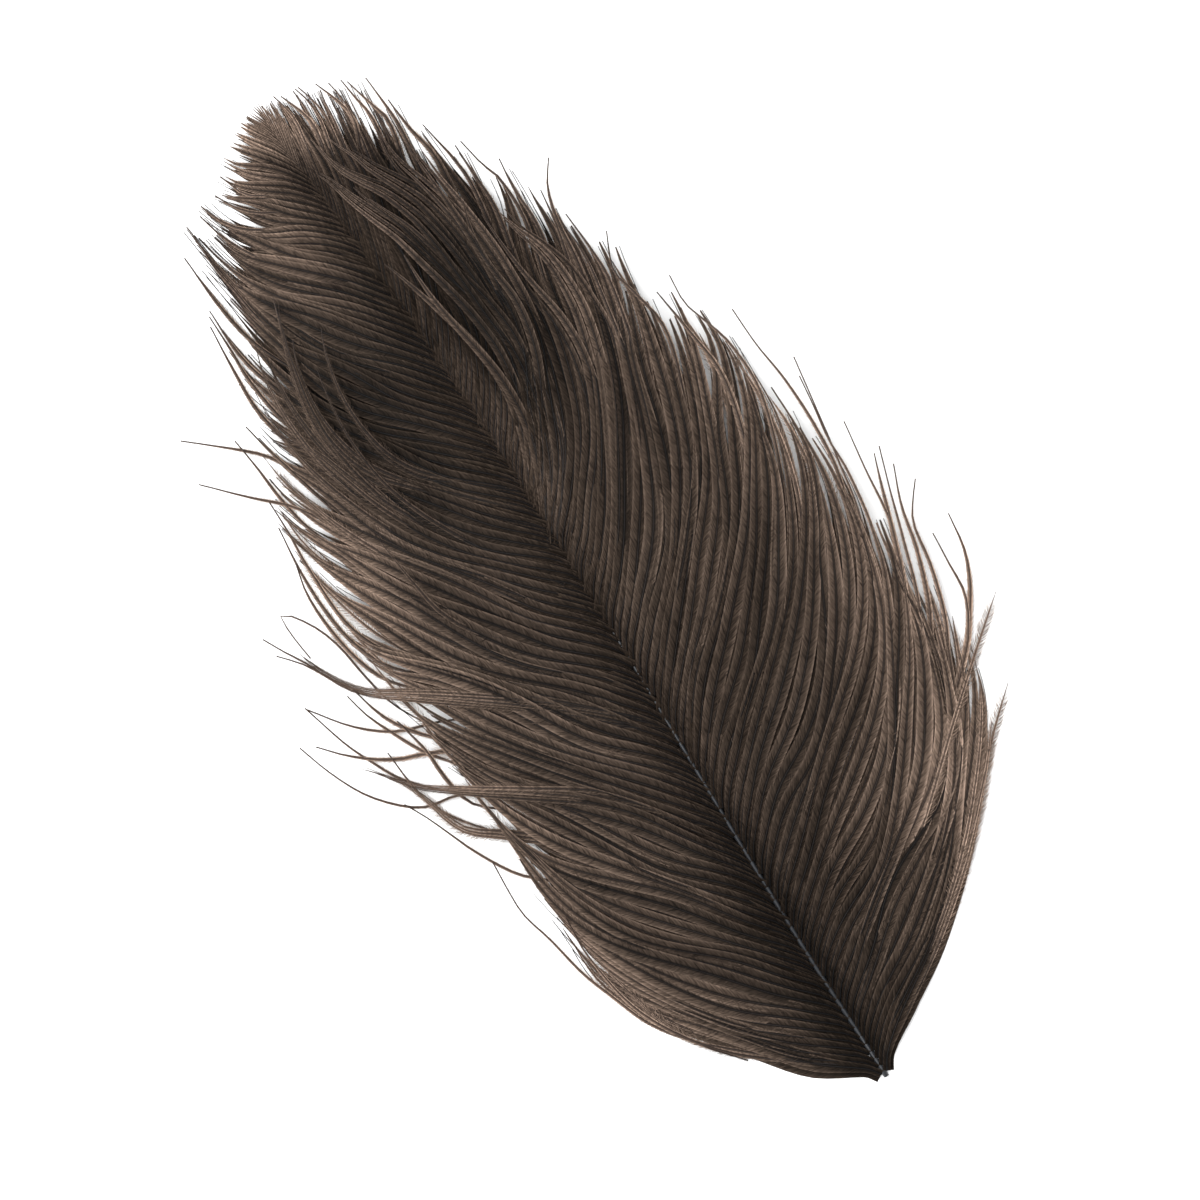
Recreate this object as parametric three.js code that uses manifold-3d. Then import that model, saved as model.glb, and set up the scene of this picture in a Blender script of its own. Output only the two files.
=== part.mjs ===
// An ostrich body feather, lying on its underside as it would on a table.
// It grew as one piece: a tapering shaft that carries two soft vanes. The vanes are loose barbs,
// which cling together in pointed locks. Each lock is one curved blade, flat below and ridged
// above, and all of them are fused with the shaft in one solid.
//
// Millimetres. +Y runs along the shaft from its cut end to the tip, +X to the right vane and
// +Z up. The sizes below count from the shaft's cut end, and the finished feather is then moved
// so that the origin is on the table, under the middle of it.

import * as THREE from "three";
import { mergeVertices } from "three/addons/utils/BufferGeometryUtils.js";
import Module from "manifold-3d";

const wasm = await Module();
wasm.setup();

const WELD = 1e-4; // corners closer than this are one corner

// ---- Shaft ----
const SHAFT_CUT_Y = -0.6; // the cut end
const SHAFT_TIP_Y = 201; // the shaft's thin end, under the last barbs
const SHAFT_RADIUS = 1.0; // at the cut end
const SHAFT_TIP_RADIUS = 0.3;
const SHAFT_SIDES = 8;
const SHAFT_STEPS = 24;
const SHAFT_BOW = 3.1; // how far the shaft bows to the right
const BOW_FROM_Y = 20;
const BOW_TO_Y = 206;
const BOW_SKEW = 1.3; // above 1, the bow is fullest nearer the tip
const CAMBER = 9; // how far the middle of the shaft rises off the table
const CAMBER_FROM_Y = 8; // below this, the shaft lies flat
const CAMBER_SKEW = 0.85;
const CAMBER_EASE = 1.4;
const SHAFT_REST = 0.9; // height of the resting shaft's axis, as a share of its radius

// ---- Vanes ----
const FEATHER_END_Y = 205;
const VANE_MARGIN = 1; // beside the shaft, even where a vane ends
// How far each vane reaches from the shaft: widest, where along the shaft, and how blunt.
const LEFT_REACH = { most: 42, skew: 0.9, power: 0.7 };
const RIGHT_REACH = { most: 58, skew: 0.75, power: 0.9 };
const VANE_SWELL = 2.4; // each vane puffs up beside the shaft
const SWELL_AT = 9; // this far from it
const LAYER_RISE = 2.4; // a lock lies on those that start above it
const LAYER_DEPTH = 3; // height of vane over which that rise comes in, from none at the table

// ---- Locks ----
const LOCK_SIDES = 3; // a ridge on top and a flat underside
const LOCK_STEPS = 6;
const LOCK_ROOT_SHARE = 0.9; // width at the shaft, as a share of the widest
const LOCK_WIDEST_AT = 0.35; // share of its length
const LOCK_TIP_WIDTH = 0.6;
const LOCK_TAPER_POWER = 1.6; // above 1, it stays wide and then closes quickly
const LOCK_THICKNESS = 2.4;
const LOCK_TIP_THICKNESS = 0.8;
const LEAVES_SHAFT_AT = { left: 50, right: 52 }; // degrees from the shaft
const ROOT_HANDLE = 0.42; // Bezier handles, as shares of the straight distance
const TIP_HANDLE = 0.36;

// Each lock: where it starts along the shaft, its tip across and along, the heading of its tip
// in degrees away from +Y towards its own side, and its widest width.
const LEFT_LOCKS = [
  [5, 34.5, 46, 24, 7],
  [13, 37.5, 69, 6, 6],
  [21, 33.5, 67, 16, 8],
  [27, 34, 74, 20, 7],
  [33, 45, 86, 24, 5],
  [39, 47.5, 95.5, 24, 7],
  [45, 37, 91, 5, 8],
  [52, 50.3, 110, 12, 7],
  [56, 55, 104.5, 22, 6],
  [63, 43, 108, 5, 8],
  [69, 49.5, 123.5, 30, 7],
  [75, 38.2, 132, -4, 8],
  [81, 36.8, 141, -2, 8],
  [89, 44.7, 153, 42, 5],
  [92, 35, 156, 2, 8],
  [102, 43, 161, 48, 5],
  [105, 31.5, 157, 6, 8],
  [112, 29.2, 163, 0, 8],
  [121, 15, 175, -24, 5],
  [125, 28, 172, -4, 8],
  [133, 10, 166, -28, 5],
  [137, 26.5, 177, -2, 8],
  [146, 24.8, 188, 4, 7],
  [155, 21.8, 191.5, 5, 7],
  [163, 18.2, 194, 12, 6],
  [171, 16.8, 192.5, 24, 6],
  [177, 12.5, 196, 22, 5],
  [183, 10, 198.5, 14, 4],
  [188, 7, 200.5, 12, 3.5],
  [193, 3.6, 202, 8, 3.5],
];
const RIGHT_LOCKS = [
  [4, 56, 46, 52, 7],
  [8, 63, 60.5, 44, 7],
  [14, 54, 58, 24, 8],
  [19, 63.3, 76.5, 4, 7],
  [25, 59, 75, 2, 8],
  [31, 61.5, 84.5, 32, 8],
  [38, 58, 92.5, 22, 8],
  [45, 56.5, 100, 8, 8],
  [52, 55.5, 113.5, 12, 8],
  [59, 51, 127.5, -3, 7],
  [66, 49.5, 119, -6, 8],
  [75, 44.9, 138, -4, 8],
  [82, 41.2, 137, -6, 8],
  [88, 40, 151, 18, 6],
  [93, 35.8, 157.5, 4, 7],
  [99, 38.5, 167.5, 34, 5],
  [104, 31.5, 172.5, 0, 8],
  [112, 27, 180, -5, 7],
  [118, 23, 184.5, -8, 6],
  [122, 22.7, 173, 22, 5],
  [127, 20, 195, -4, 7],
  [133, 2, 189.5, -20, 5],
  [138, 16, 190, -6, 6],
  [143, 9.5, 190, -20, 5],
  [149, 15.5, 199, -6, 6],
  [157, 12.5, 200.2, -2, 5],
  [165, 9.4, 201.5, -3, 5],
  [173, 6.5, 202.3, -3, 5],
  [181, 4, 203, 2, 4],
  [188, 2.6, 203, 6, 3.5],
  [195, 0.6, 203.5, 2, 3.5],
];

// A rise and fall from 0 to 1 and back to 0 as share goes from 0 to 1.
function hump(share, skew, power) {
  const inside = THREE.MathUtils.clamp(share, 0, 1);
  return Math.pow(Math.max(Math.sin(Math.PI * Math.pow(inside, skew)), 0), power);
}

function shaftX(y) {
  return SHAFT_BOW * hump((y - BOW_FROM_Y) / (BOW_TO_Y - BOW_FROM_Y), BOW_SKEW, 1);
}

function shaftRadius(y) {
  const along = THREE.MathUtils.clamp(y / SHAFT_TIP_Y, 0, 1);
  return THREE.MathUtils.lerp(SHAFT_RADIUS, SHAFT_TIP_RADIUS, along);
}

function shaftZ(y) {
  const rise = (y - CAMBER_FROM_Y) / (FEATHER_END_Y - CAMBER_FROM_Y);
  return SHAFT_REST * shaftRadius(y) + CAMBER * hump(rise, CAMBER_SKEW, CAMBER_EASE);
}

// Height of the vane's surface over the table at a point of it.
function vaneZ(x, y) {
  const reach = x < shaftX(y) ? LEFT_REACH : RIGHT_REACH;
  const widest = VANE_MARGIN + reach.most * hump(y / FEATHER_END_Y, reach.skew, reach.power);
  const out = Math.abs(x - shaftX(y));
  const fall = Math.max(1 - Math.pow(out / widest, 2), 0);
  const swell = VANE_SWELL * (out / SWELL_AT) * Math.exp(1 - out / SWELL_AT);
  return (shaftZ(y) + swell) * fall;
}

// A closed bar swept along the table, from t = 0 to 1. bar(t) gives its centre, its direction
// in plan, its half width and its half thickness. No part of it goes under the table.
function sweep(sides, steps, turn, bar) {
  const rod = new THREE.CylinderGeometry(1, 1, 1, sides, steps);
  rod.deleteAttribute("normal");
  rod.deleteAttribute("uv");
  const corners = rod.getAttribute("position");
  for (let i = 0; i < corners.count; i++) {
    const t = corners.getY(i) + 0.5;
    const round = Math.atan2(corners.getZ(i), corners.getX(i)) + turn;
    // 0 in the middle of an end face, and 1 everywhere else.
    const fromAxis = Math.round(Math.hypot(corners.getX(i), corners.getZ(i)));
    const { centre, heading, halfWidth, halfThickness } = bar(t);
    const across = fromAxis * halfWidth * Math.cos(round);
    const up = fromAxis * halfThickness * Math.sin(round);
    corners.setXYZ(
      i,
      centre.x + heading.y * across,
      centre.y - heading.x * across,
      Math.max(centre.z + up, 0),
    );
  }
  const merged = mergeVertices(rod, WELD);
  return new wasm.Manifold(
    new wasm.Mesh({
      numProp: 3,
      vertProperties: merged.getAttribute("position").array,
      triVerts: new Uint32Array(merged.index.array),
    }),
  );
}

// The shaft: a tapering rod that bows and rises, and lies on one of its faces at the cut end.
function makeShaft() {
  const bar = (t) => {
    const y = THREE.MathUtils.lerp(SHAFT_CUT_Y, SHAFT_TIP_Y, t);
    const ahead = new THREE.Vector2(shaftX(y + 1) - shaftX(y), 1).normalize();
    const radius = shaftRadius(y);
    return {
      centre: new THREE.Vector3(shaftX(y), y, shaftZ(y)),
      heading: ahead,
      halfWidth: radius,
      halfThickness: radius,
    };
  };
  // Turned by half a side, so that one of its faces points down.
  return sweep(SHAFT_SIDES, SHAFT_STEPS, Math.PI / SHAFT_SIDES, bar);
}

// One lock: a ridged blade that curves from the shaft to its pointed tip.
function makeLock(side, [rootY, tipOut, tipY, tipHeading, width]) {
  const towards = (degrees) => {
    const angle = THREE.MathUtils.degToRad(degrees);
    return new THREE.Vector2(side * Math.sin(angle), Math.cos(angle));
  };
  const root = new THREE.Vector2(shaftX(rootY), rootY);
  const tip = new THREE.Vector2(side * tipOut, tipY);
  const reach = root.distanceTo(tip);
  const leaves = towards(side < 0 ? LEAVES_SHAFT_AT.left : LEAVES_SHAFT_AT.right);
  const path = new THREE.CubicBezierCurve(
    root,
    root.clone().addScaledVector(leaves, ROOT_HANDLE * reach),
    tip.clone().addScaledVector(towards(tipHeading), -TIP_HANDLE * reach),
    tip,
  );
  const bar = (t) => {
    const at = path.getPoint(t);
    const surface = vaneZ(at.x, at.y);
    const layer = LAYER_RISE * t * Math.min(1, surface / LAYER_DEPTH);
    const grow = Math.min(t / LOCK_WIDEST_AT, 1);
    const taper = Math.max(t - LOCK_WIDEST_AT, 0) / (1 - LOCK_WIDEST_AT);
    const full = THREE.MathUtils.lerp(LOCK_ROOT_SHARE, 1, grow) * width;
    const halfThickness = THREE.MathUtils.lerp(LOCK_THICKNESS, LOCK_TIP_THICKNESS, t) / 2;
    // The centre is a third of the way up from the flat underside.
    return {
      centre: new THREE.Vector3(at.x, at.y, Math.max(surface + layer, halfThickness / 2)),
      heading: path.getTangent(t),
      halfWidth: THREE.MathUtils.lerp(full, LOCK_TIP_WIDTH, Math.pow(taper, LOCK_TAPER_POWER)) / 2,
      halfThickness,
    };
  };
  return sweep(LOCK_SIDES, LOCK_STEPS, 0, bar);
}

// The shaft and its locks, joined in one solid.
function makeFeather() {
  const pieces = [
    makeShaft(),
    ...LEFT_LOCKS.map((lock) => makeLock(-1, lock)),
    ...RIGHT_LOCKS.map((lock) => makeLock(1, lock)),
  ];
  const mesh = pieces.reduce((whole, piece) => whole.add(piece)).getMesh();
  return new THREE.BufferGeometry()
    .setAttribute("position", new THREE.BufferAttribute(mesh.vertProperties, 3))
    .setIndex(new THREE.BufferAttribute(mesh.triVerts, 1));
}

const keratin = new THREE.MeshStandardMaterial({
  color: 0x4a3f38,
  roughness: 0.75,
  metalness: 0,
});

const feather = new THREE.Mesh(makeFeather(), keratin);
feather.name = "feather";
const middle = new THREE.Box3().setFromObject(feather).getCenter(new THREE.Vector3());
feather.position.set(-middle.x, -middle.y, 0);

const group = new THREE.Group();
group.add(feather);

export default group;
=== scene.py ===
import math

import bpy
import numpy as np
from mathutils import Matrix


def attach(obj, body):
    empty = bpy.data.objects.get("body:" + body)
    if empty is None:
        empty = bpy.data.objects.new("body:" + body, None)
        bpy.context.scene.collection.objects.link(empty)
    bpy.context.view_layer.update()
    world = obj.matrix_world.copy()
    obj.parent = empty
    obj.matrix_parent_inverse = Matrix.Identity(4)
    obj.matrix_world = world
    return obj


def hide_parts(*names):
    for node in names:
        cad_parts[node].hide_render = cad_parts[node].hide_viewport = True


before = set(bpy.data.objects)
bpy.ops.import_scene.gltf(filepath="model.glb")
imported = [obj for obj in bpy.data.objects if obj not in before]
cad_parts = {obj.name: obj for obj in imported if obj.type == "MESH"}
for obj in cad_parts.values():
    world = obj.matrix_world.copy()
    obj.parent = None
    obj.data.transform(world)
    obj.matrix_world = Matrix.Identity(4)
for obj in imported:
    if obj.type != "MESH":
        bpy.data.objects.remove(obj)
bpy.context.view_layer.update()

MM = 0.001
# The frame's origin is under the middle of the feather. Every place below counts, in
# millimetres, from the shaft's cut end: x to the right, y towards the tip, z up.
MIDDLE = np.array([4.159, 101.455, 0.0])


# ---------------- surface, camera and light
# A feather this light is looked at lying on a plain white table, from straight above, so that
# its shaft runs from the lower right to the upper left. A large soft lamp hangs over it.
TABLE_SIZE = 3.0
TABLE_WHITE = (0.93, 0.93, 0.93, 1.0)
VIEW_WIDTH = 209.97 * MM  # what the camera takes in, at the feather
VIEW_CENTRE = (3.59, 97.34)
VIEW_TURN = math.radians(-33.15)
LENS = 120.0  # a long lens, so that heights hardly spread
SENSOR = 36.0

scene = bpy.context.scene
scene.view_settings.view_transform = "Standard"

half = TABLE_SIZE / 2
table_mesh = bpy.data.meshes.new("table")
corners = [(-half, -half, 0), (half, -half, 0), (half, half, 0), (-half, half, 0)]
table_mesh.from_pydata(corners, [], [(0, 1, 2, 3)])
table = bpy.data.objects.new("table", table_mesh)
scene.collection.objects.link(table)
table_paint = bpy.data.materials.new("table_white")
table_paint.use_nodes = True
table_shader = table_paint.node_tree.nodes["Principled BSDF"]
table_shader.inputs["Base Color"].default_value = TABLE_WHITE
table_shader.inputs["Roughness"].default_value = 0.9
table_shader.inputs["Specular IOR Level"].default_value = 0.1
table_mesh.materials.append(table_paint)

camera_data = bpy.data.cameras.new("camera")
camera_data.lens = LENS
camera_data.sensor_width = SENSOR
camera = bpy.data.objects.new("camera", camera_data)
scene.collection.objects.link(camera)
eye_height = VIEW_WIDTH * LENS / SENSOR
camera.location = (
    (VIEW_CENTRE[0] - MIDDLE[0]) * MM,
    (VIEW_CENTRE[1] - MIDDLE[1]) * MM,
    eye_height + 6 * MM,
)
camera.rotation_euler = (0, 0, VIEW_TURN)
scene.camera = camera

sky = bpy.data.worlds.new("studio")
sky.use_nodes = True
sky.node_tree.nodes["Background"].inputs["Color"].default_value = (1.0, 1.0, 1.0, 1.0)
sky.node_tree.nodes["Background"].inputs["Strength"].default_value = 0.62
scene.world = sky

for name, place, tilt, size, power in [
    ("lamp_over", (-0.15, 0.25, 1.1), (-14, -8), 0.9, 14.5),
    ("lamp_side", (-0.8, 0.5, 0.6), (-32, -50), 0.45, 12.0),
]:
    lamp_data = bpy.data.lights.new(name, "AREA")
    lamp_data.size = size
    lamp_data.energy = power
    lamp = bpy.data.objects.new(name, lamp_data)
    lamp.location = place
    lamp.rotation_euler = (math.radians(tilt[0]), math.radians(tilt[1]), 0)
    scene.collection.objects.link(lamp)


# ---------------- shaft
# The shaft is one tapering rod of solid keratin, blue-grey and slightly glossy on top. It bows to
# the right, rises a little in the middle, and is cut square where it was taken from the skin.
SHAFT_CUT = -0.6
SHAFT_END = 201.0
SHAFT_RADIUS = 0.5
SHAFT_END_RADIUS = 0.12
SHAFT_SIDES = 10
SHAFT_STEPS = 120
BOW = 3.1
BOW_FROM, BOW_TO, BOW_SKEW = 20.0, 206.0, 1.3
CAMBER = 9.0
CAMBER_FROM, CAMBER_SKEW, CAMBER_EASE = 8.0, 0.85, 1.4
FEATHER_END = 205.0
SINK, SINK_FROM, SINK_OVER = 0.75, 68.0, 40.0  # between the bases of the barbs


def hump(share, skew, power):
    """A rise and fall from 0 to 1 and back as share goes from 0 to 1."""
    inside = np.clip(share, 0, 1)
    return np.maximum(np.sin(np.pi * inside**skew), 0) ** power


def shaft_x(y):
    return BOW * hump((y - BOW_FROM) / (BOW_TO - BOW_FROM), BOW_SKEW, 1)


def shaft_radius(y):
    return SHAFT_RADIUS + (SHAFT_END_RADIUS - SHAFT_RADIUS) * np.clip(y / SHAFT_END, 0, 1)


def shaft_z(y):
    rise = (y - CAMBER_FROM) / (FEATHER_END - CAMBER_FROM)
    return shaft_radius(y) + CAMBER * hump(rise, CAMBER_SKEW, CAMBER_EASE)


def shaft_sink(y):
    """How far the shaft has sunk between the bases of the barbs, which hide its upper half."""
    return SINK * np.clip((y - SINK_FROM) / SINK_OVER, 0, 1)


def to_frame(points):
    """Places in millimetres from the cut end, as metres in the frame."""
    return (np.asarray(points, float) - MIDDLE) * MM


rings = []
for y in np.linspace(SHAFT_CUT, SHAFT_END, SHAFT_STEPS + 1):
    radius = float(shaft_radius(y))
    sink = float(min(shaft_sink(y), shaft_z(y) - radius))
    for corner in range(SHAFT_SIDES):
        around = 2 * math.pi * corner / SHAFT_SIDES
        rings.append(
            (shaft_x(y) + radius * math.cos(around), y, shaft_z(y) - sink + radius * math.sin(around))
        )
shaft_faces = [tuple(range(SHAFT_SIDES))]
for step in range(SHAFT_STEPS):
    for corner in range(SHAFT_SIDES):
        after = (corner + 1) % SHAFT_SIDES
        low, high = step * SHAFT_SIDES, (step + 1) * SHAFT_SIDES
        shaft_faces.append((low + corner, high + corner, high + after, low + after))
shaft_faces.append(tuple(reversed(range(SHAFT_STEPS * SHAFT_SIDES, (SHAFT_STEPS + 1) * SHAFT_SIDES))))
shaft_mesh = bpy.data.meshes.new("shaft")
shaft_mesh.from_pydata(to_frame(rings).tolist(), [], shaft_faces)
shaft_mesh.polygons.foreach_set("use_smooth", [len(face) == 4 for face in shaft_faces])
shaft = bpy.data.objects.new("shaft", shaft_mesh)
scene.collection.objects.link(shaft)


def set_inputs(tree, made, values):
    """Links a node's inputs to the sockets given, or sets them to the values."""
    for key, value in dict(values).items():
        if isinstance(value, bpy.types.NodeSocket):
            tree.links.new(value, made.inputs[key])
        else:
            made.inputs[key].default_value = value


def add_node(tree, kind, values=(), **settings):
    """A node with its settings and inputs, as its outputs."""
    made = tree.nodes.new(kind)
    for key, value in settings.items():
        setattr(made, key, value)
    set_inputs(tree, made, values)
    return made.outputs


def colour_ramp(tree, share, stops):
    """A colour that changes over a share from 0 to 1, from its colours at some places."""
    ramp = tree.nodes.new("ShaderNodeValToRGB")
    first, last = ramp.color_ramp.elements
    first.position, last.position = stops[0][0], stops[-1][0]
    first.color, last.color = (*stops[0][1], 1), (*stops[-1][1], 1)
    for position, colour in stops[1:-1]:
        ramp.color_ramp.elements.new(position).color = (*colour, 1)
    tree.links.new(share, ramp.inputs["Fac"])
    return ramp.outputs["Color"]


def new_finish(name):
    """A material with its node tree and shader."""
    material = bpy.data.materials.new(name)
    material.use_nodes = True
    return material, material.node_tree, material.node_tree.nodes["Principled BSDF"]


# Its finish: fine streaks run lengthwise in the horn.
HORN_STREAKS = (9000, 260, 9000)  # in a metre, across and along
HORN_COLOURS = [(0.3, (0.010, 0.011, 0.013)), (0.75, (0.030, 0.033, 0.039))]

horn, tree, shader = new_finish("shaft_horn")
place = add_node(tree, "ShaderNodeTexCoord")["Object"]
place = add_node(tree, "ShaderNodeMapping", {"Vector": place, "Scale": HORN_STREAKS})["Vector"]
streaks = add_node(tree, "ShaderNodeTexNoise", {"Vector": place, "Scale": 1.0, "Detail": 3.0})["Fac"]
gloss = add_node(tree, "ShaderNodeMapRange", {"Value": streaks, "To Min": 0.3, "To Max": 0.5})["Result"]
set_inputs(tree, shader, {"Base Color": colour_ramp(tree, streaks, HORN_COLOURS), "Roughness": gloss})
shaft_mesh.materials.append(horn)
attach(shaft, "root")


# ---------------- finish of the barbs
# A barb is a thin blue-black stem between two soft webs of barbules, dark where they leave the
# stem and tan at their ends. Each vertex carries how pale its barb is there, with painted shade
# taken off in places (tone), how far it is from stem to barbule tip (reach), and its place in the
# grain of the barbules, in millimetres.
MAP = "OFBake"

DARK_BARB = [
    (0.0, (0.0015, 0.0015, 0.002)),
    (0.09, (0.002, 0.0018, 0.0016)),
    (0.24, (0.006, 0.0044, 0.0033)),
    (0.66, (0.008, 0.0058, 0.0042)),
    (0.82, (0.0175, 0.0125, 0.009)),
    (1.0, (0.026, 0.0184, 0.0132)),
]
PALE_BARB = [
    (0.0, (0.014, 0.011, 0.010)),
    (0.09, (0.030, 0.022, 0.018)),
    (0.24, (0.135, 0.095, 0.072)),
    (0.62, (0.195, 0.138, 0.105)),
    (0.84, (0.350, 0.250, 0.192)),
    (1.0, (0.430, 0.308, 0.240)),
]
STEM_COLOURS = [(0, (0.004, 0.004, 0.0045)), (1, (0.070, 0.048, 0.038))]
BARBULE_STREAKS = (3.8, 0.5, 1.0)  # in a millimetre, across and along the barbules
STREAK_LIGHT = {"From Min": 0.3, "From Max": 0.7, "To Min": 0.3, "To Max": 1.75}

barb_finish, tree, shader = new_finish("barbules")
tone, reach, grain = [
    add_node(tree, "ShaderNodeAttribute", attribute_name=name) for name in ("tone", "reach", "grain")
]
dark, pale = [colour_ramp(tree, reach["Fac"], stops) for stops in (DARK_BARB, PALE_BARB)]
# On this node, inputs 6 and 7 and output 2 are those of colours.
colour = add_node(tree, "ShaderNodeMix", {0: tone["Fac"], 6: dark, 7: pale}, data_type="RGBA")[2]

# The barbules lie side by side, each a little lighter or darker than the next.
values = {"Vector": grain["Vector"], "Scale": BARBULE_STREAKS}
place = add_node(tree, "ShaderNodeMapping", values)["Vector"]
streaks = add_node(tree, "ShaderNodeTexNoise", {"Vector": place, "Scale": 1.0, "Detail": 3.0})["Fac"]
light = add_node(tree, "ShaderNodeMapRange", {"Value": streaks, **STREAK_LIGHT})["Result"]
colour = add_node(tree, "ShaderNodeHueSaturation", {"Value": light, "Color": colour})["Color"]
relief = {"Height": streaks, "Strength": 0.6, "Distance": 0.08 * MM}
normal = add_node(tree, "ShaderNodeBump", relief)["Normal"]
set_inputs(tree, shader, {
    "Base Color": colour, "Normal": normal, "Roughness": 0.7, "Specular IOR Level": 0.04,
})

# The stems are harder and glossier, blue-black and browner where their barb is pale.
stem_finish, tree, shader = new_finish("barb_stems")
tone = add_node(tree, "ShaderNodeAttribute", attribute_name="tone")["Fac"]
colour = colour_ramp(tree, tone, STEM_COLOURS)
set_inputs(tree, shader, {"Base Color": colour, "Roughness": 0.5, "Specular IOR Level": 0.12})


# ---------------- how a barb grows
# Each barb is a stem that tapers to a hair, with a shallow web of barbules on each side, and
# single barbules that stand out of the web and past its edge. They all point forward. The tree
# grows them along lines of vertices, which carry the widths in metres.
BARBULE_ANGLE = math.radians(34)  # to the stem
BARBULE_BOW = 0.09  # how far a barbule curves out from the straight, as a share of its length
BARBULE_WIDTH = 0.045  # at its root, as a share of its length
BARBULE_SPACING = 0.36  # along the stem
WEB_REACH = 0.88  # of the barbules' full reach, to the web's edge
# A web across and up: it swells between its stem and its edge.
WEB_SECTION = [(-1, 0.02), (-0.5, 0.12), (0, -0.04), (0.5, 0.12), (1, 0.02)]
MAP_HALF_WIDTH = 0.012  # of one barbule or stem on the map
MAP_ROWS = 40  # the webs' rows on the map, for barbs of different tone
MAP_LENGTH = 100 * MM


def barbule(name, side):
    """One barbule, a metre long: a thin blade with its root at the origin, along +X."""
    bow, wide = side * BARBULE_BOW, BARBULE_WIDTH / 2
    corners = [
        (0, -wide, 0),
        (0, wide, 0),
        (0.5, bow - wide * 0.85, 0),
        (0.5, bow + wide * 0.85, 0),
        (1, 0, 0),
    ]
    mesh = bpy.data.meshes.new(name)
    mesh.from_pydata(corners, [], [(0, 2, 3, 1), (2, 4, 3)])
    for key, values in [("reach", (0, 0, 0.5, 0.5, 1)), ("across", (-1, 1, -1, 1, 0))]:
        mesh.attributes.new(key, "FLOAT", "POINT").data.foreach_set("value", values)
    return bpy.data.objects.new(name, mesh)


barbule_left = barbule("barbule_left", 1)
barbule_right = barbule("barbule_right", -1)

section_mesh = bpy.data.meshes.new("web_section")
section_mesh.from_pydata([(x, y, 0) for x, y in WEB_SECTION], [(i, i + 1) for i in range(4)], [])
section_across = section_mesh.attributes.new("across", "FLOAT", "POINT")
section_across.data.foreach_set("value", [x for x, y in WEB_SECTION])
web_section = bpy.data.objects.new("web_section", section_mesh)

tree = bpy.data.node_groups.new("grow_barbs", "GeometryNodeTree")
sockets = {}
for name, kind, value in [
    ("Lines", "NodeSocketGeometry", None),
    ("Barbule spacing", "NodeSocketFloat", BARBULE_SPACING * MM),
    ("Barbule angle", "NodeSocketFloat", BARBULE_ANGLE),
    ("Angle spread", "NodeSocketFloat", math.radians(8)),
    ("Rise", "NodeSocketFloat", math.radians(10)),
    ("Rise spread", "NodeSocketFloat", math.radians(9)),
    ("Roll spread", "NodeSocketFloat", math.radians(35)),
    ("Lowest", "NodeSocketFloat", 0.03 * MM),
    ("Highest", "NodeSocketFloat", 13.0 * MM),
    ("Left barbule", "NodeSocketObject", None),
    ("Right barbule", "NodeSocketObject", None),
    ("Web section", "NodeSocketObject", None),
    ("Barbule finish", "NodeSocketMaterial", None),
    ("Stem finish", "NodeSocketMaterial", None),
    ("Seed", "NodeSocketInt", 1),
]:
    socket = tree.interface.new_socket(name, in_out="INPUT", socket_type=kind)
    if value is not None:
        socket.default_value = value
    sockets[name] = socket.identifier
tree.interface.new_socket("Barbs", in_out="OUTPUT", socket_type="NodeSocketGeometry")
given = tree.nodes.new("NodeGroupInput").outputs
grown = tree.nodes.new("NodeGroupOutput")


def node(kind, values=(), **settings):
    """A node of this tree, as its outputs."""
    return add_node(tree, kind, values, **settings)


def sum_of(*values):
    return node("ShaderNodeMath", enumerate(values), operation="ADD")[0]


def product(*values):
    return node("ShaderNodeMath", enumerate(values), operation="MULTIPLY")[0]


def named(name):
    """A number that each vertex carries."""
    return node("GeometryNodeInputNamedAttribute", {"Name": name})["Attribute"]


def vector(x, y, z):
    return node("ShaderNodeCombineXYZ", {"X": x, "Y": y, "Z": z})[0]


def give(geometry, name, value, data_type="FLOAT", domain="POINT"):
    """The geometry with a value of this name on it."""
    return node(
        "GeometryNodeStoreNamedAttribute",
        {"Geometry": geometry, "Name": name, "Value": value},
        data_type=data_type,
        domain=domain,
    )[0]


def random_number(spread, salt):
    """An even random number from -spread to spread, for each barbule."""
    # On this node, inputs 2 and 3 and output 1 are those of plain numbers.
    values = {2: product(spread, -1.0), 3: spread, "Seed": sum_of(given["Seed"], float(salt))}
    return node("FunctionNodeRandomValue", values, data_type="FLOAT")[1]


def map_column():
    """Where a stem or a barbule is across the map, by its tone."""
    return sum_of(0.02, sum_of(product(named("tone"), 0.7), product(named("across"), MAP_HALF_WIDTH)))


def joined(*parts):
    join = tree.nodes.new("GeometryNodeJoinGeometry")
    for part in parts:
        tree.links.new(part, join.inputs[0])
    return join.outputs[0]


lines = node("GeometryNodeMeshToCurve", {"Mesh": given["Lines"]})[0]
lines = node("GeometryNodeSetCurveNormal", {"Curve": lines}, mode="Z_UP")[0]
lines = node("GeometryNodeSetCurveTilt", {"Curve": lines, "Tilt": named("roll")})[0]

# Stems: three-sided rods.
ring = node("GeometryNodeCurvePrimitiveCircle", {"Resolution": 3, "Radius": 1.0}, mode="RADIUS")[0]
ring = give(ring, "across", node("GeometryNodeSplineParameter")["Factor"])
values = {"Curve": lines, "Profile Curve": ring, "Scale": named("thick")}
stems = node("GeometryNodeCurveToMesh", values)[0]
stems = give(stems, "is_stem", 1.0)
stem_map = vector(map_column(), sum_of(0.91, product(named("along"), 0.08)), 0.0)
stems = give(stems, MAP, stem_map, "FLOAT2", "CORNER")

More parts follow.
